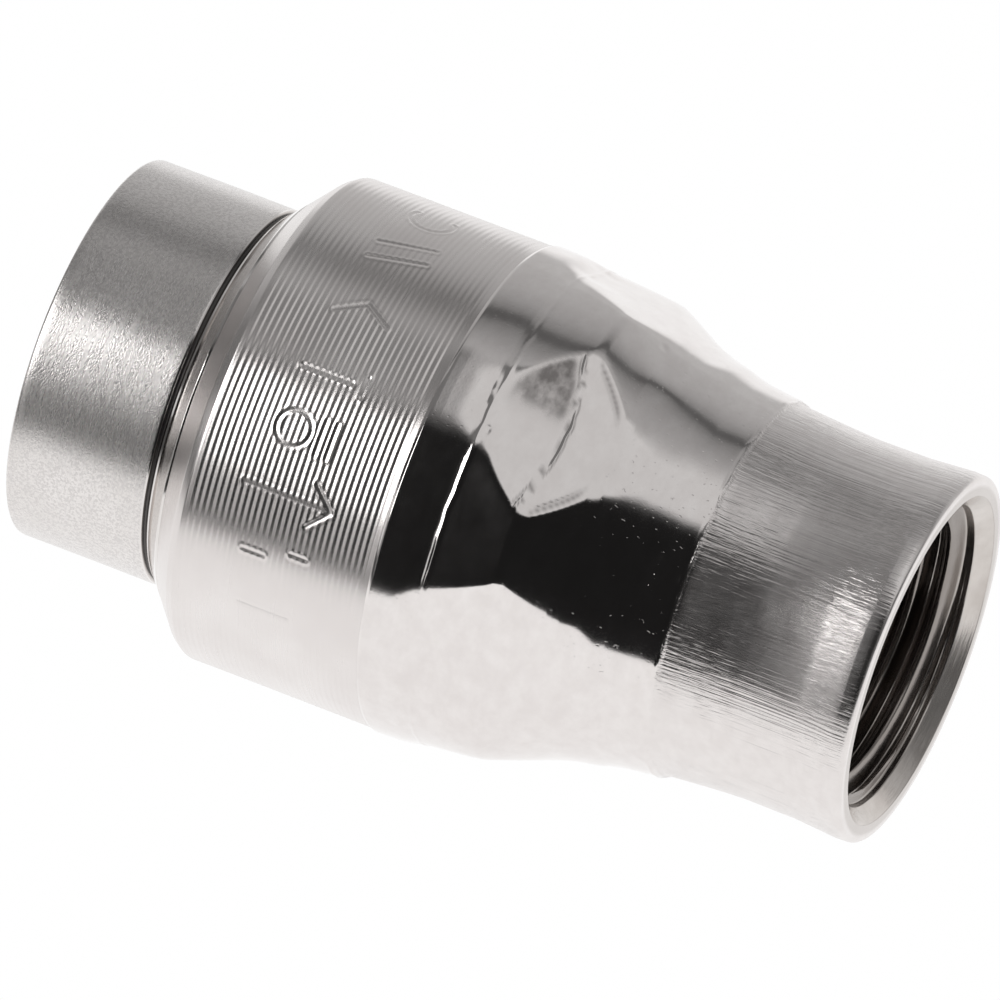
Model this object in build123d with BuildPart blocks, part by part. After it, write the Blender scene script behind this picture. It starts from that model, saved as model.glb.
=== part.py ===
from build123d import *
import os
from math import cos, radians, sin

# In-line spring check valve in stainless steel, with a female G 1/2 thread at each end.
# Millimetres. +Z is the flow axis and points downstream; z = 0 is the inlet end face, so the
# valve stands upright on its inlet end. The poppet is drawn closed, resting on its seat.

os.makedirs("parts", exist_ok=True)

# ---- Driving dimensions --------------------------------------------------------------------
LENGTH = 60.0  # face to face
INLET_R = 13.15  # plain cylinder of the inlet end
OUTLET_R = 12.7  # plain cylinder of the outlet end
RING_R = 16.85  # turned ring that carries the marks
CAST_R = 17.0  # cast surface just downstream of the ring
RING_START, RING_END = 13.8, 27.2

# G 1/2 pipe thread: 20.955 major, 18.631 minor. The bores are drawn plain at the minor radius.
THREAD_MINOR_R = 18.631 / 2
THREAD_ENTRY_R = 11.4  # mouth of the entry chamfer
THREAD_RELIEF_R = 10.7
ENTRY_DEPTH = THREAD_ENTRY_R - THREAD_MINOR_R  # 45 degree entry chamfer
INLET_THREAD_END = 11.6
OUTLET_THREAD_START = 46.6

# Screwed joint between the inlet end and the body (M26, drawn as plain cylinders that touch)
SEAM_Z = 11.65  # face of the inlet end's flange
SEAM_GAP = 0.2
FLANGE_R = 14.45
JOINT_R = 13.0
SPIGOT_END = 20.2
GASKET_R = 14.0
GASKET_T = 0.8

# Flow path
SEAT_BORE_R = 7.5
SEAT_Z = 20.8  # top of the seat lip, where the seal rests
SEAT_LIP_R = 8.2
CHAMBER_R = 12.15
THROAT_R = 8.6

# Poppet
LIFT = 4.8
TAIL_R = 2.0  # M4 tail of the stem
ROD_R = 2.5  # guided rod of the stem
ROD_TIP = 41.0
SEAL_T, SEAL_R = 1.2, 9.0
PLATE_T, PLATE_R = 1.0, 6.9
WASHER_T, WASHER_R = 0.9, 3.8
NUT_T, NUT_ACROSS_FLATS = 2.4, 7.0
DISC_R, DISC_T = 9.5, 2.0
SKIRT_DROP = 0.7  # rim of the disc around the seal
COLLAR_R, COLLAR_T = 4.5, 1.2

SEAL_TOP = SEAT_Z + SEAL_T
DISC_TOP = SEAL_TOP + DISC_T
COLLAR_TOP = DISC_TOP + COLLAR_T
PLATE_BOTTOM = SEAT_Z - PLATE_T
WASHER_BOTTOM = PLATE_BOTTOM - WASHER_T
NUT_BOTTOM = WASHER_BOTTOM - NUT_T
TAIL_TIP = NUT_BOTTOM - 1.0

# Guide
STOP_GAP = 0.1  # left between collar and hub at full lift
HUB_R = 4.2
HUB_BOTTOM = COLLAR_TOP + LIFT + STOP_GAP
HUB_TOP = 38.4
SPIDER_BOTTOM, SPIDER_TOP = 35.0, 37.6
SPIDER_RIM_R, SPIDER_RIM_W = 12.1, 1.8
ARM_W = 2.0
BUSH_R, BUSH_CLEARANCE = 3.3, 0.05
BUSH_FLANGE_R, BUSH_FLANGE_T = 4.0, 0.7
SNAP_T, SNAP_R, SNAP_W = 1.0, 12.7, 1.7

# Spring
WIRE_R = 0.4
COIL_R = 5.25
COILS = 6
SHIM_T, SHIM_R = 0.5, 6.3
SPRING_TOP = SPIDER_BOTTOM - SHIM_T
SPRING_GAP = 0.04  # left at each end, so that the wire doesn't bite into its seats

# Six shallow wrench flats, each with a steeper facet at its downstream end
FLAT_COUNT = 6
FLAT_START_ANGLE = 0.0
FACET_Z = 36.1  # line where flat and facet meet
FACET_DISTANCE = 15.5  # of that line from the valve's axis
FLAT_DRAFT, FACET_DRAFT = 11.5, 14.5  # degrees from the valve's axis


# ---- Outlet body: the ring, the cast shoulder with its flats, and the outlet end ------------
SHOULDER_START, SHOULDER_TOE = (CAST_R, 35.7), (14.8, 39.3)
CONE_END = (13.35, 44.2)
NECK = (13.15, 46.4)

with BuildPart() as outlet_body:
    with BuildSketch(Plane.XZ) as body_profile:
        with BuildLine():
            Polyline(
                (GASKET_R, SEAM_Z + SEAM_GAP),
                (FLANGE_R + 0.35, SEAM_Z + SEAM_GAP),
                (RING_R - 0.3, 13.25),
                (RING_R, RING_START),
                (RING_R, RING_END),
                (CAST_R, RING_END + 0.3),
                SHOULDER_START,
                SHOULDER_TOE,
                CONE_END,
                NECK,
                (OUTLET_R, NECK[1] + 0.4),
                (OUTLET_R, LENGTH),
                (THREAD_ENTRY_R, LENGTH),
                (THREAD_MINOR_R, LENGTH - ENTRY_DEPTH),
                (THREAD_MINOR_R, OUTLET_THREAD_START),
                (THREAD_RELIEF_R, OUTLET_THREAD_START - 0.6),
                (THREAD_RELIEF_R, 44.9),
                (THROAT_R, 44.9),
                (THROAT_R, 43.6),
                (11.2, 39.4),
                (11.2, SPIDER_TOP),
                (CHAMBER_R, SPIDER_TOP),
                (CHAMBER_R, SPIDER_BOTTOM),
                (SNAP_R, SPIDER_BOTTOM),
                (SNAP_R, SPIDER_BOTTOM - SNAP_T),
                (CHAMBER_R, SPIDER_BOTTOM - SNAP_T),
                (CHAMBER_R, SPIGOT_END + 0.3),
                (JOINT_R, SPIGOT_END + 0.3),
                (JOINT_R, SEAM_Z + GASKET_T),
                (GASKET_R, SEAM_Z + GASKET_T),
                close=True,
            )
        make_face()
        for corner, radius in (
            ((RING_R - 0.3, 13.25), 0.5),
            (SHOULDER_START, 1.5),
            (SHOULDER_TOE, 5.0),
            (CONE_END, 6.0),
            ((OUTLET_R, LENGTH), 0.45),
            ((THROAT_R, 43.6), 1.5),
            ((11.2, 39.4), 1.5),
        ):
            fillet(body_profile.vertices().sort_by_distance((*corner, 0))[0], radius)
    revolve(axis=Axis.Z)
    for draft in (FLAT_DRAFT, FACET_DRAFT):
        for index in range(FLAT_COUNT):
            turn = radians(FLAT_START_ANGLE + 360 / FLAT_COUNT * index)
            out = Vector(cos(turn), sin(turn), 0)
            normal = out * cos(radians(draft)) + Vector(0, 0, sin(radians(draft)))
            face = Plane(
                origin=out * FACET_DISTANCE + Vector(0, 0, FACET_Z),
                x_dir=(-sin(turn), cos(turn), 0),
                z_dir=normal,
            )
            with BuildSketch(face):
                Rectangle(24, 16)
            extrude(amount=6, mode=Mode.SUBTRACT)
outlet_body.part.label = "outlet_body"
export_step(outlet_body.part, "parts/outlet_body.step")


# ---- Inlet end: plain cylinder, narrow groove, flange, screwed spigot and the seat ----------
GROOVE_Z, GROOVE_DEPTH = 9.85, 0.4

with BuildPart() as inlet_end:
    with BuildSketch(Plane.XZ) as inlet_profile:
        with BuildLine():
            Polyline(
                (THREAD_ENTRY_R, 0),
                (INLET_R, 0),
                (INLET_R, GROOVE_Z),
                (INLET_R - GROOVE_DEPTH, GROOVE_Z + 0.1),
                (INLET_R - GROOVE_DEPTH, GROOVE_Z + 0.35),
                (INLET_R, GROOVE_Z + 0.6),
                (FLANGE_R, SEAM_Z - 0.1),
                (FLANGE_R, SEAM_Z),
                (JOINT_R, SEAM_Z),
                (JOINT_R, SPIGOT_END),
                (SEAT_LIP_R, SPIGOT_END),
                (SEAT_LIP_R, SEAT_Z),
                (SEAT_BORE_R, SEAT_Z),
                (SEAT_BORE_R, 14.2),
                (SEAT_BORE_R + 1.2, 13.2),
                (THREAD_RELIEF_R, 13.2),
                (THREAD_RELIEF_R, INLET_THREAD_END + 0.6),
                (THREAD_MINOR_R, INLET_THREAD_END),
                (THREAD_MINOR_R, ENTRY_DEPTH),
                close=True,
            )
        make_face()
        fillet(inlet_profile.vertices().sort_by_distance((INLET_R, 0, 0))[0], 0.25)
    revolve(axis=Axis.Z)
inlet_end.part.label = "inlet_end"
export_step(inlet_end.part, "parts/inlet_end.step")


# ---- Body gasket: flat ring clamped between the inlet end's flange and the body -------------
with BuildPart() as body_gasket:
    with BuildSketch(Plane.XY.offset(SEAM_Z)):
        Circle(GASKET_R)
        Circle(JOINT_R, mode=Mode.SUBTRACT)
    extrude(amount=GASKET_T)
body_gasket.part.label = "body_gasket"
export_step(body_gasket.part, "parts/body_gasket.step")


# ---- Outlet guide: hub on three arms inside a rim that rests on the body's shoulder ---------
with BuildPart() as outlet_guide:
    with BuildSketch(Plane.XY.offset(SPIDER_BOTTOM)):
        Circle(SPIDER_RIM_R)
        Circle(SPIDER_RIM_R - SPIDER_RIM_W, mode=Mode.SUBTRACT)
        with PolarLocations(0, 3, start_angle=30):
            with Locations((SPIDER_RIM_R / 2 - 0.5, 0)):
                Rectangle(SPIDER_RIM_R - 2, ARM_W)
        Circle(HUB_R - 0.5)
    extrude(amount=SPIDER_TOP - SPIDER_BOTTOM)
    with BuildSketch(Plane.XY.offset(HUB_BOTTOM)):
        Circle(HUB_R)
    extrude(amount=HUB_TOP - HUB_BOTTOM)
    with BuildSketch(Plane.XY.offset(HUB_BOTTOM)):
        Circle(BUSH_R)
    extrude(amount=HUB_TOP - HUB_BOTTOM, mode=Mode.SUBTRACT)
    hub_rims = outlet_guide.edges().filter_by(GeomType.CIRCLE).group_by(Axis.Z)[0]
    chamfer(hub_rims.sort_by(SortBy.RADIUS)[-1], 0.4)
outlet_guide.part.label = "outlet_guide"
export_step(outlet_guide.part, "parts/outlet_guide.step")


# ---- Guide bush: flanged plastic liner pressed into the hub ---------------------------------
with BuildPart() as guide_bush:
    with BuildSketch(Plane.XY.offset(HUB_BOTTOM + 0.3)):
        Circle(BUSH_R)
        Circle(ROD_R + BUSH_CLEARANCE, mode=Mode.SUBTRACT)
    extrude(amount=HUB_TOP - HUB_BOTTOM - 0.3)
    with BuildSketch(Plane.XY.offset(HUB_TOP)):
        Circle(BUSH_FLANGE_R)
        Circle(ROD_R + BUSH_CLEARANCE, mode=Mode.SUBTRACT)
    extrude(amount=BUSH_FLANGE_T)
guide_bush.part.label = "guide_bush"
export_step(guide_bush.part, "parts/guide_bush.step")


# ---- Guide snap ring: open ring in the body's groove, holding the guide against its shoulder -
with BuildPart() as guide_snap_ring:
    with BuildSketch(Plane.XY.offset(SPIDER_BOTTOM - SNAP_T)):
        Circle(SNAP_R)
        Circle(SNAP_R - SNAP_W, mode=Mode.SUBTRACT)
        with Locations((0, -SNAP_R)):
            Rectangle(5.0, 2 * SNAP_W + 1.0, mode=Mode.SUBTRACT)
    extrude(amount=SNAP_T)
guide_snap_ring.part.label = "guide_snap_ring"
export_step(guide_snap_ring.part, "parts/guide_snap_ring.step")


# ---- Spring washer plate: thin ring between the guide's arms and the spring -----------------
with BuildPart() as spring_shim:
    with BuildSketch(Plane.XY.offset(SPRING_TOP)):
        Circle(SHIM_R)
        Circle(HUB_R + 0.1, mode=Mode.SUBTRACT)
    extrude(amount=SHIM_T)
spring_shim.part.label = "spring_shim"
export_step(spring_shim.part, "parts/spring_shim.step")


# ---- Closing spring: round wire coil that pushes the disc onto its seat ---------------------
with BuildPart() as closing_spring:
    wire_low = DISC_TOP + WIRE_R + SPRING_GAP
    wire_high = SPRING_TOP - WIRE_R - SPRING_GAP
    with BuildLine() as coil_path:
        Helix(
            pitch=(wire_high - wire_low) / COILS,
            height=wire_high - wire_low,
            radius=COIL_R,
            center=(0, 0, wire_low),
        )
    with BuildSketch(Plane(origin=coil_path.line @ 0, z_dir=coil_path.line % 0)):
        Circle(WIRE_R)
    sweep()
closing_spring.part.label = "closing_spring"
export_step(closing_spring.part, "parts/closing_spring.step")


# ---- Poppet disc: backs the seal, with a shallow rim around it ------------------------------
with BuildPart() as poppet_disc:
    with BuildSketch(Plane.XY.offset(SEAL_TOP - SKIRT_DROP)):
        Circle(DISC_R)
        Circle(SEAL_R, mode=Mode.SUBTRACT)
    extrude(amount=SKIRT_DROP)
    with BuildSketch(Plane.XY.offset(SEAL_TOP)):
        Circle(DISC_R)
        Circle(TAIL_R, mode=Mode.SUBTRACT)
    extrude(amount=DISC_T)
    top_edges = poppet_disc.edges().filter_by(GeomType.CIRCLE).group_by(Axis.Z)[-1]
    fillet(top_edges.sort_by(SortBy.RADIUS)[-1], 0.8)
poppet_disc.part.label = "poppet_disc"
export_step(poppet_disc.part, "parts/poppet_disc.step")


# ---- Stem: threaded tail through the poppet, collar on the disc, rod in the guide bush ------
with BuildPart() as stem:
    with BuildSketch(Plane.XY.offset(TAIL_TIP)):
        Circle(TAIL_R)
    extrude(amount=DISC_TOP - TAIL_TIP)
    with BuildSketch(Plane.XY.offset(DISC_TOP)):
        Circle(COLLAR_R)
    extrude(amount=COLLAR_T)
    with BuildSketch(Plane.XY.offset(COLLAR_TOP)):
        Circle(ROD_R)
    extrude(amount=ROD_TIP - COLLAR_TOP)
    stem_ends = stem.edges().filter_by(GeomType.CIRCLE).group_by(Axis.Z)
    chamfer(stem_ends[0] + stem_ends[-1], 0.4)
stem.part.label = "stem"
export_step(stem.part, "parts/stem.step")


# ---- Seat seal: soft flat ring that closes on the seat lip ----------------------------------
with BuildPart() as seat_seal:
    with BuildSketch(Plane.XY.offset(SEAT_Z)):
        Circle(SEAL_R)
        Circle(TAIL_R, mode=Mode.SUBTRACT)
    extrude(amount=SEAL_T)
seat_seal.part.label = "seat_seal"
export_step(seat_seal.part, "parts/seat_seal.step")


# ---- Seal plate: clamps the seal, and enters the seat bore ----------------------------------
with BuildPart() as seal_plate:
    with BuildSketch(Plane.XY.offset(PLATE_BOTTOM)):
        Circle(PLATE_R)
        Circle(TAIL_R, mode=Mode.SUBTRACT)
    extrude(amount=PLATE_T)
    plate_edges = seal_plate.edges().filter_by(GeomType.CIRCLE).group_by(Axis.Z)[0]
    chamfer(plate_edges.sort_by(SortBy.RADIUS)[-1], 0.4)
seal_plate.part.label = "seal_plate"
export_step(seal_plate.part, "parts/seal_plate.step")


# ---- Lock washer: split spring washer under the nut -----------------------------------------
with BuildPart() as lock_washer:
    with BuildSketch(Plane.XY.offset(WASHER_BOTTOM)):
        Circle(WASHER_R)
        Circle(TAIL_R, mode=Mode.SUBTRACT)
        with Locations(((WASHER_R + TAIL_R) / 2, 0)):
            Rectangle(2 * (WASHER_R - TAIL_R), 0.5, rotation=20, mode=Mode.SUBTRACT)
    extrude(amount=WASHER_T)
lock_washer.part.label = "lock_washer"
export_step(lock_washer.part, "parts/lock_washer.step")


# ---- Clamp nut: thin hexagon nut on the stem's tail -----------------------------------------
with BuildPart() as clamp_nut:
    with BuildSketch(Plane.XY.offset(NUT_BOTTOM)):
        RegularPolygon(NUT_ACROSS_FLATS / 2, 6, major_radius=False)
        Circle(TAIL_R, mode=Mode.SUBTRACT)
    extrude(amount=NUT_T)
    with BuildSketch(Plane.XZ) as corner_cut:
        with BuildLine():
            Polyline((3.6, NUT_BOTTOM), (4.6, NUT_BOTTOM), (4.6, NUT_BOTTOM + 0.6), close=True)
        make_face()
    revolve(axis=Axis.Z, mode=Mode.SUBTRACT)
clamp_nut.part.label = "clamp_nut"
export_step(clamp_nut.part, "parts/clamp_nut.step")
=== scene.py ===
"""An in-line spring check valve in stainless steel, lying on a pale table in soft studio light.
Metres; +Z is the flow axis and z = 0 the inlet face. Sizes inside sections are in millimetres."""

import bpy
import numpy as np
from mathutils import Matrix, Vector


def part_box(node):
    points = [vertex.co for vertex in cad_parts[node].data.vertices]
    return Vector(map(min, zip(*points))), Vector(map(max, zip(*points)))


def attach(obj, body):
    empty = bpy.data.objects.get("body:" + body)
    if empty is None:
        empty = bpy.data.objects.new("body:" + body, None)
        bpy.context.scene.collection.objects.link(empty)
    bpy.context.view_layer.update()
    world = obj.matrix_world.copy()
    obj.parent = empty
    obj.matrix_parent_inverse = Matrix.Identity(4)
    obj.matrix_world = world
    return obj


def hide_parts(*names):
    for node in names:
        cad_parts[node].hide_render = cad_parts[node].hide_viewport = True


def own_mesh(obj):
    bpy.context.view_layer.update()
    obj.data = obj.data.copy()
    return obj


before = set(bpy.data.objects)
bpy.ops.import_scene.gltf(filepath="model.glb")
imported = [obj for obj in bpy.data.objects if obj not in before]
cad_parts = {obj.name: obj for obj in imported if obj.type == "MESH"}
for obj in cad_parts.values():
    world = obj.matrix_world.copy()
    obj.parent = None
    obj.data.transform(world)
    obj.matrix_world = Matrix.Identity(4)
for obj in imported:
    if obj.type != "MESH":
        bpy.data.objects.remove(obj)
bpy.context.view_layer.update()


# ---- Turned ring of the outlet body ---------------------------------------------------------
# The thick ring round the body's inlet side. It is part of the casting, turned in a lathe with a
# coarse feed that leaves fine rings, and carries shallow engraved signs such as the flow arrow.


ARC_STEP = 0.26


def section(corners):
    """Closed outline of (radius, height) points. Each corner is (radius, height, rounding, step):
    its rounding is an arc that touches both of its sides, sampled about every ARC_STEP radians,
    and the side after it is sampled every step."""
    here = np.array([corner[:2] for corner in corners], float)
    side = np.roll(here, -1, 0) - here
    length = np.hypot(side[:, 0], side[:, 1])
    ahead = side / length[:, None]
    behind = np.roll(ahead, 1, 0)
    cross = behind[:, 0] * ahead[:, 1] - behind[:, 1] * ahead[:, 0]
    bend = np.arctan2(cross, (behind * ahead).sum(1))
    rounding = np.array([corner[2] for corner in corners], float)
    cut = rounding * np.abs(np.tan(bend / 2))
    runs = []
    for k, corner in enumerate(corners):
        points = 2 + int(abs(bend[k]) / ARC_STEP)
        sweep = np.linspace(0, abs(bend[k]), points)[:, None]
        if rounding[k] == 0:
            sweep = sweep[:1]
        left = np.array([-behind[k, 1], behind[k, 0]]) * np.sign(bend[k])
        arc = np.sin(sweep) * behind[k] + (1 - np.cos(sweep)) * left
        runs.append(here[k] - cut[k] * behind[k] + rounding[k] * arc)
        start = here[k] + cut[k] * ahead[k]
        free = length[k] - cut[k] - cut[(k + 1) % len(corners)]
        count = max(1, int(round(free / corner[3])))
        along = free * np.arange(1, count)[:, None] / count
        runs.append(start + along * ahead[k])
    return np.concatenate(runs)


def lathe_skin(name, radius, height, turn, crease=35):
    """Ring-shaped skin. Its point in row i and column j is at radius[i, j] and height[i, j], and
    at the angle turn[j] round the axis. The last row joins the first and so do the columns.
    Edges sharper than crease degrees stay sharp."""
    radius, height, turn = np.broadcast_arrays(radius, height, turn)
    place = np.stack([radius * np.cos(turn), radius * np.sin(turn), height], -1) / 1000
    number = np.arange(radius.size).reshape(radius.shape)
    beside = np.roll(number, -1, 1)
    faces = [number, beside, np.roll(beside, -1, 0), np.roll(number, -1, 0)]
    mesh = bpy.data.meshes.new(name)
    mesh.from_pydata(place.reshape(-1, 3), [], np.stack(faces, -1).reshape(-1, 4))
    mesh.shade_smooth()
    mesh.set_sharp_from_angle(angle=np.radians(crease))
    piece = bpy.data.objects.new(name, mesh)
    bpy.context.scene.collection.objects.link(piece)
    return piece


def turn_past(turn, start):
    """Angle of turn less start, in radians between minus and plus half a turn."""
    return (turn - start + np.pi) % (2 * np.pi) - np.pi


def ripple(turn, height, seed, waves, pitch):
    """Smooth random relief, mostly between -1 and 1: a fifth of the sum of 14 cosines, each with a
    whole number of waves round the axis, up to waves, and along it a wave no shorter than pitch."""
    draw = np.random.default_rng(seed)
    total = 0
    for _ in range(14):
        round_axis = draw.integers(-waves, waves + 1)
        along_axis = draw.uniform(-1, 1) * 2 * np.pi / pitch
        total = total + np.cos(round_axis * turn + along_axis * height + draw.uniform(0, 6.3))
    return total / 5


def near(value, centre, width):
    """Bell that is 1 at centre and falls to 1/e at width from it: e to the minus square of the
    distance from centre in widths."""
    return np.exp(-(((value - centre) / width) ** 2))


def rise(value, low, high):
    """Smooth step from 0 at low to 1 at high: three times the square of the share of the way, less
    twice its cube. With low above high it falls instead."""
    share = np.clip((value - low) / (high - low), 0, 1)
    return share * share * (3 - 2 * share)


def line_gap(across, along, start, end):
    """Distance of every point (across, along) from the straight stroke between two points, by way
    of the stroke's nearest point."""
    run = np.array(end, float) - start
    share = ((across - start[0]) * run[0] + (along - start[1]) * run[1]) / (run @ run)
    share = np.clip(share, 0, 1)
    return np.hypot(across - start[0] - share * run[0], along - start[1] - share * run[1])


def arc_gap(across, along, centre, size, first, last):
    """Distance from the arc of radius size round centre, between two angles in degrees: to the
    circle between them, and to the nearer tip elsewhere."""
    angle = np.degrees(np.arctan2(along - centre[1], across - centre[0])) % 360
    outside = (angle - first) % 360 > (last - first)
    off_arc = np.abs(np.hypot(across - centre[0], along - centre[1]) - size)
    tips = [
        np.hypot(
            across - centre[0] - size * np.cos(np.radians(tip)),
            along - centre[1] - size * np.sin(np.radians(tip)),
        )
        for tip in (first, last)
    ]
    return np.where(outside, np.minimum(*tips), off_arc)


RING_R, RING_END = 16.85, 27.25
SIGN_TURN, SIGN_DEPTH = 20.0, 0.045
FEED_PITCH, FEED_DEPTH, FEED_CLIMB = 0.437, 0.03, 0.7
ring_outline = section(
    [
        (14.7, 11.82, 0.05, 0.2),
        (16.45, 13.35, 0.25, 0.2),
        (RING_R - 0.03, 13.9, 0.2, 0.1),
        (RING_R, 14.1, 0.0, 0.072),
        (RING_R, 26.95, 0.1, 0.08),
        (RING_R + 0.05, RING_END + 0.1, 0.02, 0.8),
        (14.4, RING_END + 0.1, 0.0, 3.0),
        (14.4, 11.95, 0.05, 0.5),
    ]
)
# Columns stand closer together where the signs are.
columns_front = np.radians(np.arange(-60, 66, 0.44))
columns_back = np.radians(np.arange(66, 299.5, 1.7))
ring_turn = np.concatenate([columns_front, columns_back])
ring_height = ring_outline[:, 1:]

# Signs, as strokes on the unrolled ring: around is the way round from the signs' zero line, along
# the way of the flow.
around = turn_past(np.radians(SIGN_TURN), ring_turn) * RING_R + 0 * ring_height
along = ring_height + 0 * around
flow_arrow = [
    line_gap(around, along, (-4.7, 17.4), (-4.7, 23.6)),
    line_gap(around, along, (-3.2, 22.2), (-4.7, 23.7)),
    line_gap(around, along, (-6.2, 22.2), (-4.7, 23.7)),
]
disc_and_seat = [
    arc_gap(around, along, (-0.3, 19.5), 1.2, 0, 359.9),
    line_gap(around, along, (-1.5, 21.4), (0.9, 21.4)),
    line_gap(around, along, (-1.5, 22.2), (0.9, 22.2)),
]
plain_marks = [
    line_gap(around, along, (3.8, 18.4), (3.8, 22.0)),
    line_gap(around, along, (3.1, 22.9), (4.5, 22.9)),
    line_gap(around, along, (8.2, 18.6), (9.4, 20.5)),
    line_gap(around, along, (9.4, 20.5), (8.2, 22.4)),
    line_gap(around, along, (13.2, 18.6), (14.3, 22.4)),
    line_gap(around, along, (14.9, 18.6), (16.0, 22.4)),
    arc_gap(around, along, (19.6, 20.5), 1.5, 60, 300),
    line_gap(around, along, (-8.4, 21.7), (-8.4, 22.8)),
    line_gap(around, along, (-9.2, 18.4), (-9.2, 19.9)),
    line_gap(around, along, (-13.4, 18.6), (-13.4, 22.2)),
    line_gap(around, along, (-17.5, 18.8), (-18.6, 21.9)),
]
stroke = np.min(flow_arrow + disc_and_seat + plain_marks, 0)
outer_face = rise(ring_outline[:, :1], 15.6, 16.2) * (1 - rise(ring_height, 26.7, 26.9))

# Feed marks are lopsided teeth, a little uneven. Signs are sunk, with a low burr along each stroke.
feed = (ring_height - 0.06 * ripple(ring_turn, 0, 3, 4, 9)) / FEED_PITCH % 1.0
feed = 1 - np.minimum(feed / FEED_CLIMB, (1 - feed) / (1 - FEED_CLIMB))
feed = feed * rise(ring_height, 13.95, 14.2) * outer_face * rise(stroke, 0.14, 0.3)
relief = -FEED_DEPTH * feed * (1 + 0.3 * ripple(ring_turn, ring_height, 5, 6, 5))
relief = relief - SIGN_DEPTH * (1 - rise(stroke, 0.05, 0.19)) * outer_face
relief = relief + 0.02 * near(stroke, 0.25, 0.08) * outer_face
relief = relief + 0.006 * ripple(ring_turn, ring_height, 11, 5, 12) * outer_face
ring_band = lathe_skin("ring_band", ring_outline[:, :1] + relief, ring_height, ring_turn)


class Wire:
    """One output socket. Arithmetic on it adds Math nodes, and node() adds any other node."""

    def __init__(self, tree, socket):
        self.tree = tree
        self.socket = socket

    def node(self, kind, settings=None, inputs=None, out=0):
        """Adds a node of a type, makes its settings, then fills its sockets by name or number."""
        made = self.tree.nodes.new(kind)
        for key, value in (settings or {}).items():
            if key == "stops":
                ramp = made.color_ramp
                while len(ramp.elements) < len(value):
                    ramp.elements.new(1)
                for element, (place, shade) in zip(ramp.elements, value):
                    element.position = place
                    element.color = shade if isinstance(shade, tuple) else (shade, shade, shade, 1)
            else:
                setattr(made, key, value)
        for key, value in (inputs or {}).items():
            if isinstance(value, Wire):
                self.tree.links.new(value.socket, made.inputs[key])
            else:
                made.inputs[key].default_value = value
        return Wire(self.tree, made.outputs[out])

    def maths(self, operation, first, second=0.0):
        return self.node("ShaderNodeMath", {"operation": operation}, {0: first, 1: second})

    def __add__(self, other):
        return self.maths("ADD", self, other)

    __radd__ = __add__

    def __sub__(self, other):
        return self.maths("SUBTRACT", self, other)

    def __rsub__(self, other):
        return self.maths("SUBTRACT", other, self)

    def __mul__(self, other):
        return self.maths("MULTIPLY", self, other)

    __rmul__ = __mul__

    def __pow__(self, other):
        return self.maths("POWER", self, other)

    def step(self, low, high):
        """Smooth step from 0 at low to 1 at high."""
        settings = {"interpolation_type": "SMOOTHSTEP"}
        return self.node("ShaderNodeMapRange", settings, {0: self, 1: low, 2: high})

    def grain(self, stretch, detail=3.0, share=0.5):
        """Noise of a place in millimetres, with stretch waves per millimetre along x, y and z."""
        scaled = self.node("ShaderNodeMapping", {}, {0: self, 3: stretch})
        inputs = {"Vector": scaled, "Scale": 1.0, "Detail": detail, "Roughness": share}
        return self.node("ShaderNodeTexNoise", {}, inputs)

    def blend(self, first, second):
        """Colour that goes from first to second as this value goes from 0 to 1."""
        settings = {"data_type": "RGBA"}
        return self.node("ShaderNodeMix", settings, {0: self, 6: first, 7: second}, 2)


def source(tree, kind, output):
    """One output of a new node that needs no inputs."""
    return Wire(tree, tree.nodes.new(kind).outputs[output])


def finish_of(name, metallic=1.0, **constants):
    """New material. Returns it, its shader node and the place of a surface point in mm."""
    material = bpy.data.materials.new(name)
    material.use_nodes = True
    tree = material.node_tree
    shader = tree.nodes["Principled BSDF"]
    shader.inputs["Metallic"].default_value = metallic
    for socket, value in constants.items():
        shader.inputs[socket.replace("_", " ")].default_value = value
    corner = source(tree, "ShaderNodeTexCoord", "Object")
    place = corner.node("ShaderNodeVectorMath", {"operation": "SCALE"}, {0: corner, 3: 1000.0})
    return material, shader, place


def dress(shader, colour, roughness, relief_mm):
    """Joins a colour, a roughness and a relief in millimetres to a shader."""
    tree = colour.tree
    inputs = {"Height": relief_mm, "Distance": 0.001, "Strength": 1.0}
    normal = colour.node("ShaderNodeBump", {}, inputs)
    tree.links.new(colour.socket, shader.inputs["Base Color"])
    tree.links.new(roughness.socket, shader.inputs["Roughness"])
    tree.links.new(normal.socket, shader.inputs["Normal"])


def part_of(vector, axis):
    """The x, y or z part of a vector."""
    return vector.node("ShaderNodeSeparateXYZ", {}, {0: vector}, axis)


def from_axis(place):
    """Distance of a place from the valve's axis, in millimetres."""
    return (part_of(place, 0) ** 2 + part_of(place, 1) ** 2) ** 0.5


steel_light, steel_deep = (0.8, 0.765, 0.75, 1), (0.73, 0.69, 0.675, 1)

turned_ring, shader, place = finish_of("turned_ring")
cloud = place.grain((0.12, 0.12, 0.12), 4)
feed_line = place.grain((0.15, 0.15, 9.0), 3)
speck = place.grain((6.0, 6.0, 6.0), 2)
colour = cloud.step(0.3, 0.7).blend(steel_deep, steel_light)
roughness = 0.19 + 0.06 * cloud + 0.08 * feed_line
dress(shader, colour, roughness, 0.003 * feed_line + 0.0012 * speck)
ring_band.data.materials.append(turned_ring)
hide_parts("outlet_body")
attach(ring_band, "housing")


# ---- Casting of the outlet body -------------------------------------------------------------
# The rest of the same casting: shoulder with six shallow wrench flats, cone, neck and outlet
# spigot with its G 1/2 thread. Cast by lost wax, polished by hand, and belt-ground at the outlet.


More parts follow.
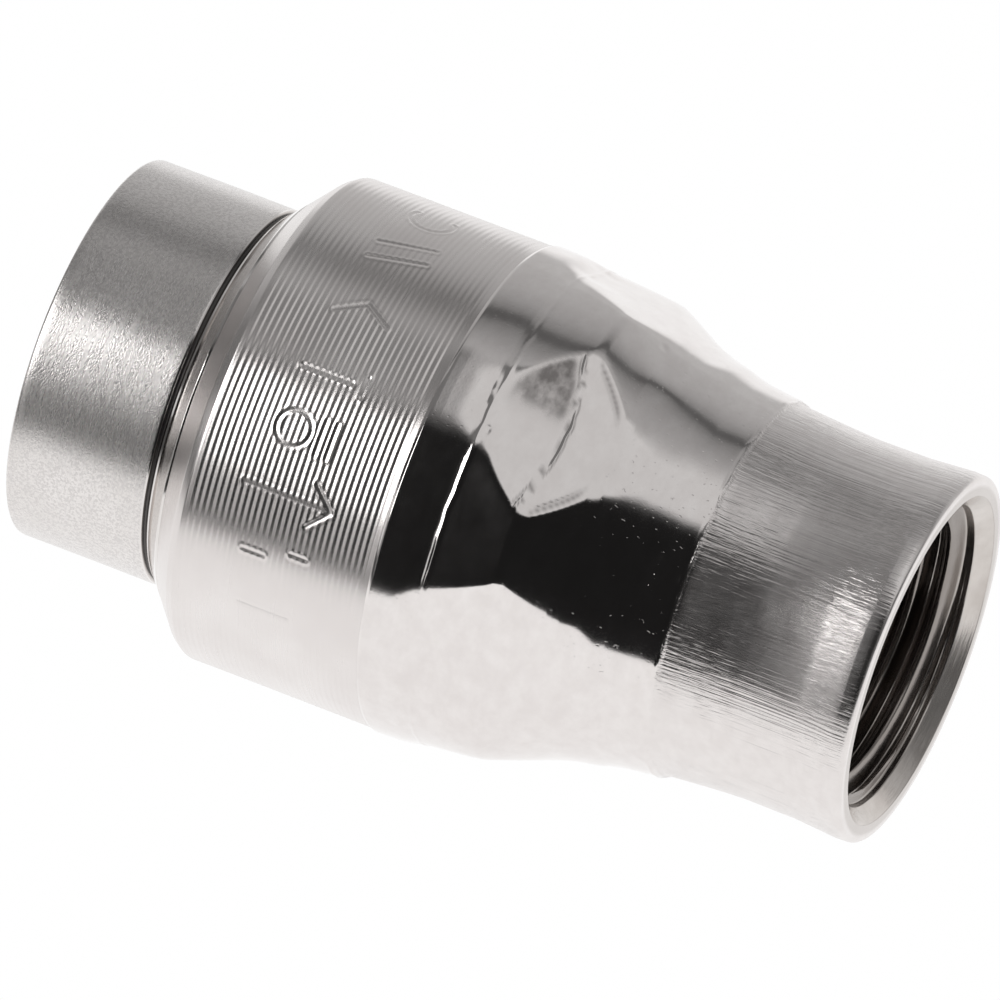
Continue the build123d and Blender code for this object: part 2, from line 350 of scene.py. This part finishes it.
OUTLET_END = 60.0
ARCH_TOP, ARCH_DROP = 36.1, 1.7
FLAT_R, CONE_SLOPE = 15.5, 0.27
SIDE_DRAFT, FRONT_DRAFT = 0.2035, 0.27
PIT_R = 16
cast_outline = section(
    [
        (16.9, 27.3, 0.1, 0.1),
        (17.0, 27.55, 0.1, 0.2),
        (16.97, 28.3, 2.0, 0.2),
        (16.84, 30.6, 0.5, 0.1),
        (16.84, 35.7, 1.2, 0.1),
        (14.8, 39.3, 4.0, 0.13),
        (13.45, 43.4, 5.0, 0.22),
        (13.12, 46.2, 0.25, 0.09),
        (12.86, 46.75, 0.4, 0.35),
        (12.6, 50.2, 9.0, 0.6),
        (12.4, 54.0, 30.0, 0.5),
        (12.75, 58.9, 0.9, 0.3),
        (12.7, OUTLET_END, 0.36, 0.5),
        (11.42, OUTLET_END, 0.04, 0.1),
        (11.42, 59.4, 0.0, 0.3),
        (11.7, 59.1, 0.0, 2.0),
        (11.7, 46.3, 0.0, 0.4),
        (10.7, 46.3, 0.0, 0.5),
        (10.7, 44.9, 0.3, 0.6),
        (8.6, 44.9, 0.2, 0.6),
        (8.6, 43.6, 1.5, 0.6),
        (11.2, 39.4, 1.5, 0.9),
        (11.2, 37.6, 0.0, 0.5),
        (12.15, 37.6, 0.0, 1.0),
        (12.15, 35.0, 0.0, 0.4),
        (12.7, 35.0, 0.0, 0.5),
        (12.7, 34.0, 0.0, 0.4),
        (12.15, 34.0, 0.0, 2.5),
        (12.15, 20.5, 0.0, 0.6),
        (13.0, 20.5, 0.0, 2.5),
        (13.0, 12.45, 0.0, 0.6),
        (14.0, 12.45, 0.0, 0.4),
        (14.0, 11.85, 0.0, 0.3),
        (14.55, 11.95, 0.0, 3.0),
        (14.55, 27.3, 0.0, 0.9),
    ]
)
cast_turn = np.radians(np.arange(360))
cast_radius = cast_outline[:, :1] + 0 * cast_turn
cast_height = cast_outline[:, 1:] + 0 * cast_turn
outside = cast_radius > np.where(cast_height > 35.0, 12.3, 15.5)
outside &= cast_height < OUTLET_END - 0.01

# Flats: distance from the axis falls along the flow, faster past an arched edge. The edges round
# a flat are softer on the two sides than at the front and back.
off_flat = np.degrees((cast_turn + np.pi / 6) % (np.pi / 3) - np.pi / 6) + 0 * cast_height
swirl = ripple(cast_turn, cast_height, 21, 5, 14)
arch = ARCH_TOP - ARCH_DROP * (off_flat / 24) ** 2 + 0.08 * swirl
facing = np.cos(2 * cast_turn)
front = rise(facing, 0.45, 0.6)
draft = SIDE_DRAFT + (FRONT_DRAFT - SIDE_DRAFT) * rise(facing, -0.3, 0.95)
reach = FLAT_R + draft * (ARCH_TOP - np.minimum(cast_height, arch))
reach = reach - CONE_SLOPE * np.maximum(cast_height - arch, 0)
flat_radius = reach / np.cos(np.radians(off_flat))
gap = cast_radius - flat_radius
soft = 0.07 + 0.5 * (1 - rise(facing, -0.4, 0.5))
soft = soft + 0.3 * rise(34.6 - cast_height, 0.0, 3.0) * (1 - rise(np.abs(off_flat), 5.0, 11.0))
sunk = 0.5 * (gap + np.sqrt(gap**2 + soft**2)) - 0.03 * soft
sunk = sunk * rise(cast_height, 29.0, 31.6) * (1 - rise(cast_height, 40.5, 42.5))
cut = rise(gap, -0.05, 0.15) * outside

# Along the arch of a front flat the metal is folded, with a hem round the flat's upper part, and
# next to it the polishing wheel missed a patch.
past_arch = cast_height - arch + 0.05 * ripple(cast_turn, 0, 28, 90, 9)
fold = cut * (near(past_arch, 0.14, 0.12) - near(past_arch, -0.12, 0.11))
hem = near(gap, 0.12, 0.1) * rise(cast_height, 35.9, 36.4) * (1 - rise(cast_height, 40, 41))
past_fold_start = rise(cast_height, 34.0, 34.6)
edges = (0.055 * fold * past_fold_start - 0.08 * hem) * front
# The missed patch is rougher, which is real, and its colour also carries painted shade, a darker
# grey.
patch = rise(-off_flat + 0.8 * swirl, -1.0, 10.0) * (1 - rise(-off_flat, 15, 25))
patch = patch * rise(cast_height, 30.8, 32.8) * rise(arch - cast_height, 0.0, 0.9)
patch = patch * cut * front
# Painted shade: dark lines along the fold's two creases and the hem's edge, passed to the colour as
# an attribute.
crease_shade = near(past_arch, -0.16, 0.07) + near(past_arch, 0.2, 0.06)
crease_shade = crease_shade * cut * front * past_fold_start
hem_shade_line = near(gap, 0.1, 0.07) * hem * (1 - rise(cast_height, 38.2, 38.9))
crease_shade = crease_shade + 0.9 * front * hem_shade_line

# Hand polish leaves long soft waves. The die's parting line is a low jagged ridge, and the belt
# leaves a burr at the neck.
wave = 0.022 * swirl + 0.009 * ripple(cast_turn, cast_height, 22, 14, 5)
wave = wave * rise(cast_height, 27.6, 29.5)
parting_height = 31.1 + 0.06 * ripple(cast_turn, 0, 23, 60, 9)
parting_height = parting_height + 0.1 * ripple(cast_turn, 0, 24, 9, 9)
parting = 0.06 * near(cast_height, parting_height, 0.13)
parting = parting * (0.85 + 0.25 * ripple(cast_turn, 0, 25, 50, 9))
parting = parting * (1 - 0.75 * near(turn_past(cast_turn, 0), -0.45, 0.4))
neck_height = 46.45 + 0.14 * ripple(cast_turn, 0, 26, 50, 9)
neck_height = neck_height + 0.12 * ripple(cast_turn, 0, 27, 9, 9)
burr = 0.065 * near(cast_height, neck_height, 0.11)

# Scattered casting pits, then single dents: degrees round, height, width, length, depth.
pits = 0
draw = np.random.default_rng(8)
for _ in range(26):
    pit_turn = draw.uniform(0, 2 * np.pi)
    pit_height = draw.uniform(28.5, 45.0)
    pit_size = draw.uniform(0.16, 0.3)
    across = turn_past(cast_turn, pit_turn) * PIT_R
    away = np.hypot(across, cast_height - pit_height)
    pits = pits + 0.3 * pit_size * near(away, 0, pit_size)
for pit_turn, pit_height, wide, tall, deep in (
    (-1.0, 30.6, 0.16, 0.2, 0.1),
    (-1.5, 31.25, 0.14, 0.18, 0.1),
    (76.0, 32.9, 0.3, 0.3, 0.08),
    (-27.0, 39.9, 1.5, 1.3, -0.07),
):
    across = turn_past(cast_turn, np.radians(pit_turn)) * PIT_R
    pits = pits + deep * near(across, 0, wide) * near(cast_height, pit_height, tall)
cast_radius = cast_radius + outside * (wave + parting + burr + edges - sunk - pits)
cast_shell = lathe_skin("cast_shell", cast_radius, cast_height, cast_turn, 40)
for name, values in (("polish_missed", patch), ("creases", crease_shade)):
    attribute = cast_shell.data.attributes.new(name, "FLOAT", "POINT")
    attribute.data.foreach_set("value", values.astype(np.float32).ravel())

# Colours of painted shade: dark brown inside the bore, grey on the missed patch, dark grey in the
# creases.
bore_shade_brown, patch_shade_grey, crease_shade_grey = (
    (0.42, 0.38, 0.35, 1),
    (0.4, 0.375, 0.365, 1),
    (0.16, 0.15, 0.145, 1),
)
cast_steel, shader, place = finish_of("cast_steel")
height_mm = part_of(place, 2)
cloud = place.grain((0.1, 0.1, 0.1), 4)
smear = place.grain((0.6, 0.6, 0.9), 4, 0.6)
speck = place.grain((5.0, 5.0, 5.0), 3, 0.6)
pinhole = place.grain((4.5, 4.5, 3.0), 1, 0.5).step(0.7, 0.78)
belt = place.grain((2.2, 2.2, 0.05), 3, 0.65) + 0.6 * place.grain((7.0, 7.0, 0.08), 2)
tool = place.grain((0.4, 0.4, 7.0), 3)
inside = 1 - from_axis(place).step(11.9, 12.3)
ground = height_mm.step(46.35, 46.6) * (1 - inside)
rim = height_mm.step(59.5, 59.9)
missed_and_shade = place.node("ShaderNodeAttribute", {"attribute_name": "polish_missed"}, {}, 2)
creases = place.node("ShaderNodeAttribute", {"attribute_name": "creases"}, {}, 2)
missed_and_shade = missed_and_shade * (0.55 + 0.9 * smear.step(0.3, 0.7))
pinhole = pinhole * (0.25 + 0.75 * height_mm.step(37, 42))
colour = smear.step(0.2, 0.85).blend(steel_deep, steel_light)
# Painted shade: nearer the axis than about 12 mm the colour goes a darker brown, standing in for
# the shade inside the bore.
colour = (inside * (0.35 + 0.4 * cloud)).blend(colour, bore_shade_brown)
# Partly real, partly painted shade: the missed patch is rougher, and its colour is painted a darker
# grey.
colour = (missed_and_shade * 0.85).blend(colour, patch_shade_grey)
# Painted shade in the creases: their colour goes dark grey.
colour = (creases * 0.7).blend(colour, crease_shade_grey)
roughness = 0.065 + 0.06 * smear + ground * 0.15 + inside * 0.15 + missed_and_shade * 0.45
relief = (0.0035 * smear + 0.0012 * speck - 0.006 * pinhole) * (1 - ground) * (1 - inside)
relief = relief + ground * (1 - rim) * 0.05 * belt + inside * 0.006 * tool
dress(shader, colour, roughness, relief)
cast_shell.data.materials.append(cast_steel)
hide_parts("outlet_body")
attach(cast_shell, "housing")


# ---- Threads ---------------------------------------------------------------------------------
# The female G 1/2 threads of the body's outlet and of the inlet end, cut in a lathe after the
# entry chamfer. Each is a sleeve of its own here, set in the piece it is cut in.
MINOR_R, THREAD_PITCH, THREAD_DEPTH = 9.3155, 1.814, 1.162
MAJOR_R = MINOR_R + THREAD_DEPTH
SLEEVE_R, FULL_THREAD = 11.75, 11.0


def thread_cut(turn, depth):
    """Cut of a rounded 55 degree thread, outwards from its crests, at a depth in the bore: a
    triangle wave of the depth less the lead round the axis, rounded by a smooth step."""
    phase = (depth / THREAD_PITCH - turn / (2 * np.pi)) % 1.0
    return THREAD_DEPTH * rise(1 - np.abs(2 * phase - 1), 0.12, 0.88)


def threaded_sleeve(name, mouth, inner, hand):
    """Sleeve whose bore carries the thread, from its mouth to its inner end. hand turns the helix
    so that the thread is right-handed seen from its own mouth. The thread runs out at both ends:
    into the entry chamfer, and past FULL_THREAD into the plain bore."""
    inward = np.sign(inner - mouth)
    length = abs(inner - mouth)
    outline = section(
        [
            (11.44, 0.02, 0.0, 0.08),
            (MINOR_R, 2.1445, 0.05, 0.085),
            (MINOR_R, length, 0.0, 0.4),
            (SLEEVE_R, length, 0.0, 4.0),
            (SLEEVE_R, 0.9, 0.0, 0.5),
        ]
    )
    turn = np.radians(np.arange(360))
    radius = outline[:, :1] + 0 * turn
    depth = outline[:, 1:] + 0 * turn
    cut = MINOR_R + thread_cut(hand * turn, depth) * rise(depth, length, FULL_THREAD)
    cut = np.maximum(cut, MAJOR_R - THREAD_DEPTH * rise(depth, 1.35, 1.8))
    bore = (radius < 11.5) & (depth < length - 0.05)
    radius = np.where(bore, np.maximum(radius, cut), radius)
    height = mouth + inward * depth
    if inward < 0:
        return lathe_skin(name, radius, height, turn, 75)
    return lathe_skin(name, radius[::-1], height[::-1], turn, 75)


thread_deep, thread_light = (0.5, 0.46, 0.43, 1), (0.68, 0.64, 0.61, 1)
thread_shade_brown = (0.24, 0.215, 0.2, 1)
thread_steel, shader, place = finish_of("thread_steel")
cloud = place.grain((0.2, 0.2, 0.2), 4)
chatter = place.grain((0.5, 0.5, 6.0), 3)
deep = 1 - from_axis(place).step(10.35, 10.55)
colour = cloud.step(0.3, 0.7).blend(thread_deep, thread_light)
# Painted shade: nearer the axis than about 10.4 mm the colour goes dark brown, standing in for the
# shade deep in the bore.
colour = (deep * 0.85).blend(colour, thread_shade_brown)
dress(shader, colour, 0.16 + 0.12 * chatter, 0.012 * chatter + 0.03 * cloud)
for name, mouth, inner, hand, node in (
    ("outlet_thread", OUTLET_END, 46.5, -1, "outlet_body"),
    ("inlet_thread", 0.0, 12.0, 1, "inlet_end"),
):
    sleeve = threaded_sleeve(name, mouth, inner, hand)
    sleeve.data.materials.append(thread_steel)
    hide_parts(node)
    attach(sleeve, "housing")


# ---- Inlet end ------------------------------------------------------------------------------
# A separate turned piece, screwed into the body from upstream: plain spigot with a G 1/2 thread
# inside, a narrow groove, a tapering flange that clamps the gasket, and the seat lip inside.
inlet_outline = section(
    [
        (13.15, 0.0, 0.25, 0.45),
        (13.15, 9.92, 0.02, 0.1),
        (12.85, 9.98, 0.03, 0.1),
        (12.85, 10.12, 0.03, 0.1),
        (13.12, 10.32, 0.03, 0.1),
        (13.2, 10.46, 0.04, 0.2),
        (14.45, 11.58, 0.04, 0.06),
        (14.45, 11.74, 0.0, 0.5),
        (13.0, 11.74, 0.0, 2.5),
        (13.0, 20.2, 0.0, 1.2),
        (8.5, 20.2, 0.1, 0.2),
        (8.2, 20.65, 0.1, 0.1),
        (8.05, 20.8, 0.05, 0.2),
        (7.5, 20.8, 0.1, 0.8),
        (7.5, 14.2, 0.3, 0.5),
        (8.7, 13.2, 0.2, 0.6),
        (10.7, 13.2, 0.2, 0.5),
        (10.7, 12.1, 0.0, 0.4),
        (11.7, 12.1, 0.0, 2.0),
        (11.7, 0.9, 0.0, 0.3),
        (11.42, 0.6, 0.0, 0.1),
        (11.42, 0.0, 0.04, 0.5),
    ]
)
inlet_turn = np.radians(np.arange(0, 360, 0.95))
inlet_radius = inlet_outline[:, :1] + 0 * inlet_turn
inlet_height = inlet_outline[:, 1:] + 0 * inlet_turn
plain = (inlet_radius > 13.1) & (inlet_height < 9.7)
inlet_radius = inlet_radius + plain * 0.01 * ripple(inlet_turn, inlet_height, 31, 6, 8)
inlet_spigot = lathe_skin("inlet_spigot", inlet_radius, inlet_height, inlet_turn)

satin_deep, satin_light = (0.74, 0.71, 0.69, 1), (0.8, 0.77, 0.755, 1)
fleck_grey, groove_shade_black = (0.66, 0.632, 0.62, 1), (0.05, 0.047, 0.045, 1)
satin_steel, shader, place = finish_of("satin_steel")
cloud = place.grain((0.15, 0.15, 0.15), 4)
blast = place.grain((9.0, 9.0, 9.0), 2, 0.6)
fleck = place.grain((5.0, 5.0, 5.0), 2, 0.6)
scuff = place.grain((0.5, 0.5, 3.5), 4, 0.6)
colour = cloud.step(0.3, 0.7).blend(satin_deep, satin_light)
height_mm = part_of(place, 2)
outer = from_axis(place).step(12.5, 12.6)
turned = height_mm.step(9.75, 9.85) * outer
groove = height_mm.step(9.93, 9.99) * (1 - height_mm.step(10.12, 10.24)) * outer
colour = (fleck.step(0.42, 0.6) * (1 - turned)).blend(colour, fleck_grey)
# Painted shade: the narrow groove's colour goes near black, for the shade down in it.
colour = (groove * 0.9).blend(colour, groove_shade_black)
roughness = 0.22 + 0.1 * scuff - 0.18 * turned + 0.3 * groove
relief = (0.011 * blast + 0.006 * fleck) * (1 - turned) + 0.002 * scuff
dress(shader, colour, roughness, relief)
inlet_spigot.data.materials.append(satin_steel)
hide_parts("inlet_end")
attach(inlet_spigot, "housing")


# ---- Body gasket ----------------------------------------------------------------------------
# Flat ring of pressed graphite, squeezed between the inlet end's flange and the body. Only its
# edge shows, deep in the narrow seam.
graphite, shader, place = finish_of("graphite", metallic=0.0, Specular_IOR_Level=0.35)
flake = place.grain((2.5, 2.5, 6.0), 5, 0.7)
colour = flake.step(0.35, 0.7).blend((0.02, 0.02, 0.022, 1), (0.09, 0.09, 0.095, 1))
dress(shader, colour, 0.45 + 0.3 * flake, 0.02 * flake)
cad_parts["body_gasket"].data.materials[0] = graphite


# ---- Outlet guide ---------------------------------------------------------------------------
# Hub on three arms inside a rim, an investment casting left matt, with a machined hub face. It
# is dropped into the body from upstream, against a shoulder.
cast_guide, shader, place = finish_of("cast_guide")
sand = place.grain((4.0, 4.0, 4.0), 5, 0.65)
cloud = place.grain((0.3, 0.3, 0.3), 3)
colour = cloud.step(0.3, 0.7).blend((0.44, 0.42, 0.4, 1), (0.58, 0.56, 0.54, 1))
dress(shader, colour, 0.38 + 0.2 * sand, 0.03 * sand)
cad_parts["outlet_guide"].data.materials[0] = cast_guide


# ---- Guide bush -----------------------------------------------------------------------------
# Flanged liner of off-white fluoropolymer, turned from rod and pressed into the hub. The stem
# slides in it.
bush_plastic, shader, place = finish_of("bush_plastic", metallic=0.0, Subsurface_Weight=0.1)
lathe_line = place.grain((0.3, 0.3, 8.0), 3)
cloud = place.grain((0.5, 0.5, 0.5), 3)
colour = cloud.step(0.3, 0.7).blend((0.72, 0.7, 0.63, 1), (0.84, 0.82, 0.77, 1))
dress(shader, colour, 0.35 + 0.15 * lathe_line, 0.012 * lathe_line)
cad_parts["guide_bush"].data.materials[0] = bush_plastic


# ---- Snap ring, lock washer and closing spring ----------------------------------------------
# Spring steel: an open ring in the body's groove, a split washer under the nut, and the coil
# that pushes the disc onto its seat. The coil's ends are closed and ground flat.
spring_steel, shader, place = finish_of("spring_steel")
draw_line = place.grain((2.0, 2.0, 2.0), 4)
speck = place.grain((12.0, 12.0, 12.0), 2)
colour = draw_line.step(0.3, 0.7).blend((0.5, 0.48, 0.46, 1), (0.66, 0.64, 0.61, 1))
dress(shader, colour, 0.2 + 0.15 * draw_line, 0.004 * speck)
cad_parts["guide_snap_ring"].data.materials[0] = spring_steel
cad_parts["lock_washer"].data.materials[0] = spring_steel


def wound_wire(name, low, high, coil_radius, wire_radius, coils):
    """Tube along a helix whose climb slows down at both ends, so that its end coils close: a mean
    of a smooth step and a clipped straight climb. Rows go along the wire and columns round it, and
    flat caps close the ends."""
    sides = 14
    share = np.linspace(0, 1, 36 * (coils + 2))
    turn = 2 * np.pi * (coils + 2) * share
    climb = rise(share, 0.04, 0.96) * 0.55 + 0.45 * np.clip((share - 0.1) / 0.8, 0, 1)
    lift = low + wire_radius + (high - low - 2 * wire_radius) * climb
    centre = np.stack([coil_radius * np.cos(turn), coil_radius * np.sin(turn), lift], -1)
    tangent = np.gradient(centre, axis=0)
    tangent /= np.linalg.norm(tangent, axis=1)[:, None]
    outward = np.stack([np.cos(turn), np.sin(turn), 0 * turn], -1)
    upward = np.cross(outward, tangent)
    lap = np.linspace(0, 2 * np.pi, sides, endpoint=False)[None, :, None]
    tube = centre[:, None] + wire_radius * (
        np.cos(lap) * outward[:, None] + np.sin(lap) * upward[:, None]
    )
    tube[..., 2] = np.clip(tube[..., 2], low, high)
    number = np.arange(tube.shape[0] * sides).reshape(-1, sides)
    beside = np.roll(number, -1, 1)
    walls = np.stack([number[:-1], number[1:], beside[1:], beside[:-1]], -1).reshape(-1, 4)
    faces = walls.tolist() + [number[0].tolist(), number[-1, ::-1].tolist()]
    mesh = bpy.data.meshes.new(name)
    mesh.from_pydata(tube.reshape(-1, 3) / 1000, [], faces)
    mesh.shade_smooth()
    mesh.set_sharp_from_angle(angle=np.radians(40))
    piece = bpy.data.objects.new(name, mesh)
    bpy.context.scene.collection.objects.link(piece)
    return piece


COIL_R, WIRE_R, COILS = 5.25, 0.4, 5
spring_low, spring_high = np.array(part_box("closing_spring"))[:, 2] * 1000
closing_coil = wound_wire("closing_coil", spring_low, spring_high, COIL_R, WIRE_R, COILS)
closing_coil.data.materials.append(spring_steel)
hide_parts("closing_spring")
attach(closing_coil, "housing")
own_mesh(closing_coil)


# ---- Poppet: disc, stem, seal plate and clamp nut, and the spring's shim --------------------
# Turned stainless pieces. The stem's tail passes through disc, seal and plate, and the nut with
# its lock washer holds them together; the rod slides in the guide bush.
turned_steel, shader, place = finish_of("turned_steel")
off_axis = from_axis(place)
inputs = {"W": off_axis, "Scale": 9.0, "Detail": 3.0}
face_ring = off_axis.node("ShaderNodeTexNoise", {"noise_dimensions": "1D"}, inputs)
rod_line = place.grain((0.3, 0.3, 9.0), 3)
cloud = place.grain((0.4, 0.4, 0.4), 3)
colour = cloud.step(0.3, 0.7).blend((0.56, 0.54, 0.52, 1), (0.7, 0.68, 0.66, 1))
roughness = 0.18 + 0.14 * face_ring + 0.08 * cloud
dress(shader, colour, roughness, 0.006 * face_ring + 0.006 * rod_line)
for node in ("poppet_disc", "stem", "seal_plate", "clamp_nut", "spring_shim"):
    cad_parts[node].data.materials[0] = turned_steel


# ---- Seat seal ------------------------------------------------------------------------------
# Soft flat ring of black fluoroelastomer, moulded, held between disc and plate. It closes on the
# seat lip.
seal_rubber, shader, place = finish_of("seal_rubber", metallic=0.0, Specular_IOR_Level=0.4)
bloom = place.grain((0.6, 0.6, 0.6), 5, 0.6)
speck = place.grain((9.0, 9.0, 9.0), 2)
colour = bloom.step(0.35, 0.75).blend((0.018, 0.018, 0.02, 1), (0.05, 0.05, 0.054, 1))
dress(shader, colour, 0.5 + 0.2 * bloom, 0.008 * speck)
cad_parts["seat_seal"].data.materials[0] = seal_rubber


# ---- Table, surroundings, lamp and camera ---------------------------------------------------
# The valve lies on its side on a white table in a light tent: dark towards the camera, bright
# panels above, and one soft lamp beyond the inlet. The table stands a little tilted.
VIEW_TURN, VIEW_TILT, VIEW_ROLL, FAR = 20.0, 14.95, 20.767, 1.25
TABLE_TURN, TABLE_GAP, TABLE_HALF = 34.3, 17.0, 2.0
LAMP_TURN, LAMP_LEAN, LAMP_SKEW, LAMP_FAR = -3, -37, -14, 0.6
LAMP_STRENGTH = 4.8
MIDDLE = np.array([0, 0, 0.03])


def radial(degrees):
    """Unit vector square to the valve's axis, degrees round it from the camera's side."""
    turn = np.radians(VIEW_TURN - degrees)
    return np.array([np.cos(turn), np.sin(turn), 0.0])


def stand(thing, right, upward, back, place):
    """Sets an object in place, with its x, y and z axes along three unit vectors."""
    axes = Matrix(np.stack([right, upward, back], 1).tolist()).to_4x4()
    thing.matrix_world = Matrix.Translation(place) @ axes
    bpy.context.scene.collection.objects.link(thing)


table_up = radial(TABLE_TURN)
table_far = radial(TABLE_TURN + 90)
grid = np.array([(-1, -1), (1, -1), (1, 1), (-1, 1)]) * TABLE_HALF
centre = -table_up * TABLE_GAP / 1000
corners = centre + grid[:, :1] * table_far + grid[:, 1:] * np.array([0, 0, 1.0])
mesh = bpy.data.meshes.new("table_top")
mesh.from_pydata(corners, [], [(0, 3, 2, 1)])
table_top = bpy.data.objects.new("table_top", mesh)
bpy.context.scene.collection.objects.link(table_top)

# In reflections the table carries painted shade: a painted shadow under the valve, and painted
# darkness far behind it and beyond its inlet. From below it is clear.
white_top = bpy.data.materials.new("white_top")
white_top.use_nodes = True
tree = white_top.node_tree
tree.nodes.clear()
corner = source(tree, "ShaderNodeTexCoord", "Object")
inputs = {0: corner, 1: tuple(table_far * 1000)}
far_way = corner.node("ShaderNodeVectorMath", {"operation": "DOT_PRODUCT"}, inputs, 1)
long_way = part_of(corner, 2) * 1000
shade = 1 - 0.45 * far_way.step(62, 125)
# Painted shadow under the valve, seen only in reflections.
under = far_way.step(-4, 2) * (1 - far_way.step(10, 22))
under = under * long_way.step(2, 8) * (1 - long_way.step(38, 48))
shade = shade * (1 - 0.62 * under)
past_inlet = (1 - long_way.step(-100, -42)) * (1 - far_way.step(80, 115))
shade = shade * (1 - 0.92 * past_inlet)
direct = source(tree, "ShaderNodeLightPath", "Is Camera Ray")
shade = direct * 0.97 + (1 - direct) * shade
glow = corner.node("ShaderNodeEmission", {}, {0: (1, 1, 1, 1), 1: shade * 1.03})
clear = corner.node("ShaderNodeBsdfTransparent")
back = source(tree, "ShaderNodeNewGeometry", "Backfacing")
seen = back.node("ShaderNodeMixShader", {}, {0: back, 1: glow, 2: clear})
output = tree.nodes.new("ShaderNodeOutputMaterial")
tree.links.new(seen.socket, output.inputs["Surface"])
mesh.materials.append(white_top)

# The tent's brightness goes by turn, in degrees round the valve from the camera's side, and then by
# lean, in degrees towards the outlet.
tent = bpy.data.worlds.new("light_tent")
tent.use_nodes = True
bpy.context.scene.world = tent
tree = tent.node_tree
tree.nodes.clear()
way = source(tree, "ShaderNodeTexCoord", "Generated")
turn = way.maths("ARCTAN2", part_of(way, 1), part_of(way, 0)) * (180 / np.pi)
lean = way.maths("ARCSINE", part_of(way, 2)) * (180 / np.pi)
turn = VIEW_TURN - turn
turn = turn - 360 * way.maths("ROUND", turn * (1 / 360))
bands = [
    (-180, 0.6),
    (-62, 0.5),
    (-56, 0.012),
    (20, 0.012),
    (24, 0.05),
    (29.5, 0.7),
    (52, 0.7),
    (56, 0.62),
    (64, 0.42),
    (72, 0.3),
    (77, 0.22),
    (80, 0.12),
    (84, 0.11),
    (88, 0.27),
    (96, 0.38),
    (104, 0.45),
    (115, 0.5),
    (130, 0.55),
    (180, 0.6),
]
tilted = turn - 0.3 * (lean + 15) * (turn.step(60, 80) * (1 - turn.step(86, 110)))
stops = {"stops": [((at + 180) / 360, glow) for at, glow in bands]}
panel = way.node("ShaderNodeValToRGB", stops, {0: (tilted + 180) * (1 / 360)})

# A dark gap towards the inlet, a pale apron and skirt in front and below, and darker ends.
narrow = turn.step(18, 26) * (1 - turn.step(56, 64)) * (1 - lean.step(-13, -6))
panel = (narrow * 0.88).blend(panel, (0.12, 0.12, 0.12, 1))
apron = turn.step(-58, -50) * (1 - turn.step(-26, -8)) * (1 - lean.step(-22, -18.5))
panel = (apron * lean.step(-36, -26)).blend(panel, (0.8, 0.8, 0.8, 1))
panel = (1 - lean.step(-75, -60)).blend(panel, (0.15, 0.15, 0.15, 1))
skirt = turn.step(-80, -50) * (1 - turn.step(-26, -8)) * (1 - lean.step(-58, -46))
panel = skirt.blend(panel, (0.75, 0.75, 0.75, 1))
panel = lean.step(50, 66).blend(panel, (0.13, 0.13, 0.13, 1))
direct = source(tree, "ShaderNodeLightPath", "Is Camera Ray")
sky = direct.blend(panel, (0.93, 0.93, 0.93, 1))
light = way.node("ShaderNodeBackground", {}, {0: sky, 1: 1.0})
output = tree.nodes.new("ShaderNodeOutputWorld")
tree.links.new(light.socket, output.inputs["Surface"])

lamp_lean, skew = np.radians([LAMP_LEAN, LAMP_SKEW])
lamp_way = radial(LAMP_TURN) * np.cos(lamp_lean) + np.array([0, 0, np.sin(lamp_lean)])
lamp = bpy.data.lights.new("soft_lamp", "AREA")
lamp.shape = "RECTANGLE"
lamp.size, lamp.size_y = 0.38, 0.27
lamp.energy = np.pi * lamp.size * lamp.size_y * LAMP_STRENGTH
lamp_object = bpy.data.objects.new("soft_lamp", lamp)
lamp_object.visible_camera = False
beside = np.cross([0, 0, 1], lamp_way)
beside /= np.linalg.norm(beside)
beside = beside * np.cos(skew) + np.cross(lamp_way, beside) * np.sin(skew)
lamp_place = lamp_way * LAMP_FAR + MIDDLE
stand(lamp_object, beside, np.cross(lamp_way, beside), lamp_way, lamp_place)

tilt, roll = np.radians([VIEW_TILT, VIEW_ROLL])
toward = radial(0) * np.cos(tilt) + np.array([0, 0, np.sin(tilt)])
flow = -radial(0) * np.sin(tilt) + np.array([0, 0, np.cos(tilt)])
across = np.cross(toward, flow)
right = np.cos(roll) * flow + np.sin(roll) * across
upward = np.cos(roll) * across - np.sin(roll) * flow
lens = bpy.data.cameras.new("camera")
lens.sensor_width = 36.0
lens.lens = 687.6
lens.shift_x, lens.shift_y = -0.005, 0.003
lens.clip_start, lens.clip_end = 0.05, 20.0
camera = bpy.data.objects.new("camera", lens)
stand(camera, right, upward, toward, toward * FAR + MIDDLE)
bpy.context.scene.camera = camera
bpy.context.scene.view_settings.view_transform = "Standard"
